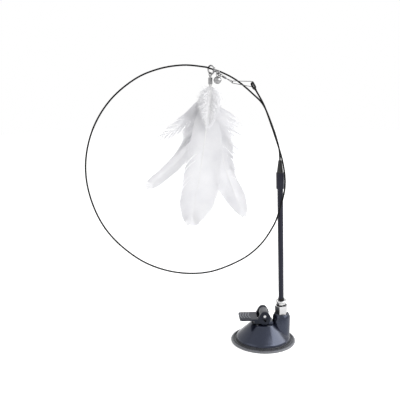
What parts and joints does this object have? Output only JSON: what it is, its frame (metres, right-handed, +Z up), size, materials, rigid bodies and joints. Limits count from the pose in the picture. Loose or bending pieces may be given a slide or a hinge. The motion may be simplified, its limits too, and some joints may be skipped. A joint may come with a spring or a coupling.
{
  "type": "cat teaser wand",
  "caption": "Cat teaser wand: lever suction base, upright rod and a spring wire loop clasped onto itself, with a hanging feather toy and a small bell.",
  "frame": {"origin": "centre of the suction face, on the floor", "axes": "+Z up, +X towards the rod's side of the base, -Y towards the viewer of the picture"},
  "size_m": [0.1979, 0.0624, 0.2672],
  "materials": {
    "cup_rubber": "satin, soft",
    "base_plastic": "glossy moulded",
    "stem_plastic": "satin moulded",
    "rod_plastic": "smooth satin",
    "tip_plastic": "glossy moulded",
    "wire_coating": "satin coating",
    "black_rubber": "matt",
    "bright_steel": "polished",
    "plain_steel": "plain",
    "nickel": "polished, slightly worn",
    "dark_nickel": "polished, dark",
    "feather": "soft, finely barbed"
  },
  "bodies": {
    "base": {"suction_cup": "cup_rubber", "base_cover": "base_plastic", "hex_socket": "bright_steel", "socket_screw": "plain_steel", "socket_washer": "plain_steel"},
    "stem": {"cup_stem": "stem_plastic", "lever_pin": "bright_steel"},
    "lever": {"cam_lever": "base_plastic"},
    "washer": {"coupling_washer": "black_rubber"},
    "rod": {"ferrule": "bright_steel", "rod_grommet": "black_rubber", "rod_tube": "rod_plastic", "tip_sleeve": "rod_plastic", "tip_cone": "tip_plastic", "spring_wire": "wire_coating", "end_eyelet": "wire_coating"},
    "chain": {"snap_clip": "bright_steel", "swivel_eye_snap": "bright_steel", "swivel_eye_ring": "bright_steel", "clasp_ring": "bright_steel", "clasp_body": "nickel", "clasp_pin": "nickel", "clasp_spring": "plain_steel"},
    "barrel": {"swivel_barrel": "dark_nickel"},
    "trigger": {"clasp_trigger": "nickel"},
    "ring": {"toy_ring": "bright_steel"},
    "toy": {"feather_crimp": "nickel", "main_feather": "feather", "side_feather": "feather", "thin_feather": "feather", "tuft_feather": "feather", "down_plume": "feather"},
    "bell": {"bell_shell": "nickel"},
    "ball": {"bell_ball": "plain_steel"}
  },
  "joints": [
    {"name": "cup_lift", "type": "slide", "parent": "base", "child": "stem", "axis": [0, 0, -1], "range_m": [0, 0.0034], "deforming": ["suction_cup"]},
    {"name": "lever_flip", "type": "hinge", "parent": "stem", "child": "lever", "pos_m": [0, 0, 0.0282], "axis": [0, 1, 0], "range_deg": [0, 90]},
    {"name": "rod_lift", "type": "slide", "parent": "base", "child": "washer", "axis": [-0.0349, 0, 0.9994], "range_m": [0, 0.006]},
    {"name": "rod_turn", "type": "hinge", "parent": "washer", "child": "rod", "pos_m": [0.0174, 0, 0.022], "axis": [-0.0349, 0, 0.9994], "range_deg": [0, 2160]},
    {"name": "chain_swing", "type": "hinge", "parent": "rod", "child": "chain", "pos_m": [-0.05269, 0, 0.26338], "axis": [0.9281, -0.0408, -0.3701], "range_deg": [-4, 25]},
    {"name": "barrel_spin", "type": "hinge", "parent": "chain", "child": "barrel", "pos_m": [-0.04552, -0.00853, 0.25919], "axis": [0.8283, 0.2755, -0.4879], "continuous": true},
    {"name": "trigger_open", "type": "hinge", "parent": "chain", "child": "trigger", "pos_m": [-0.04924, -0.00411, 0.2618], "axis": [0.766, 0.6428, 0], "range_deg": [0, 18], "stiffness_Nm_per_rad": 0.004, "springref_deg": -17.19},
    {"name": "ring_tilt", "type": "hinge", "parent": "chain", "child": "ring", "pos_m": [-0.05254, -0.00018, 0.25876], "axis": [0.6428, -0.766, 0], "range_deg": [-30, 30]},
    {"name": "toy_swing", "type": "hinge", "parent": "ring", "child": "toy", "pos_m": [-0.05254, -0.00018, 0.25686], "axis": [0.766, 0.6428, 0], "range_deg": [-10, 10]},
    {"name": "bell_swing", "type": "hinge", "parent": "chain", "child": "bell", "pos_m": [-0.04668, -0.00716, 0.25953], "axis": [0.6428, -0.766, 0], "range_deg": [-20, 12]},
    {"name": "ball_bounce", "type": "slide", "parent": "bell", "child": "ball", "axis": [0, 0, 1], "range_m": [0, 0.0035]}
  ],
  "couplings": [
    {"joint": "lever_flip", "follows": "cup_lift", "rad_per_m": 462},
    {"joint": "rod_lift", "follows": "rod_turn", "m_per_rad": 0.000159}
  ]
}
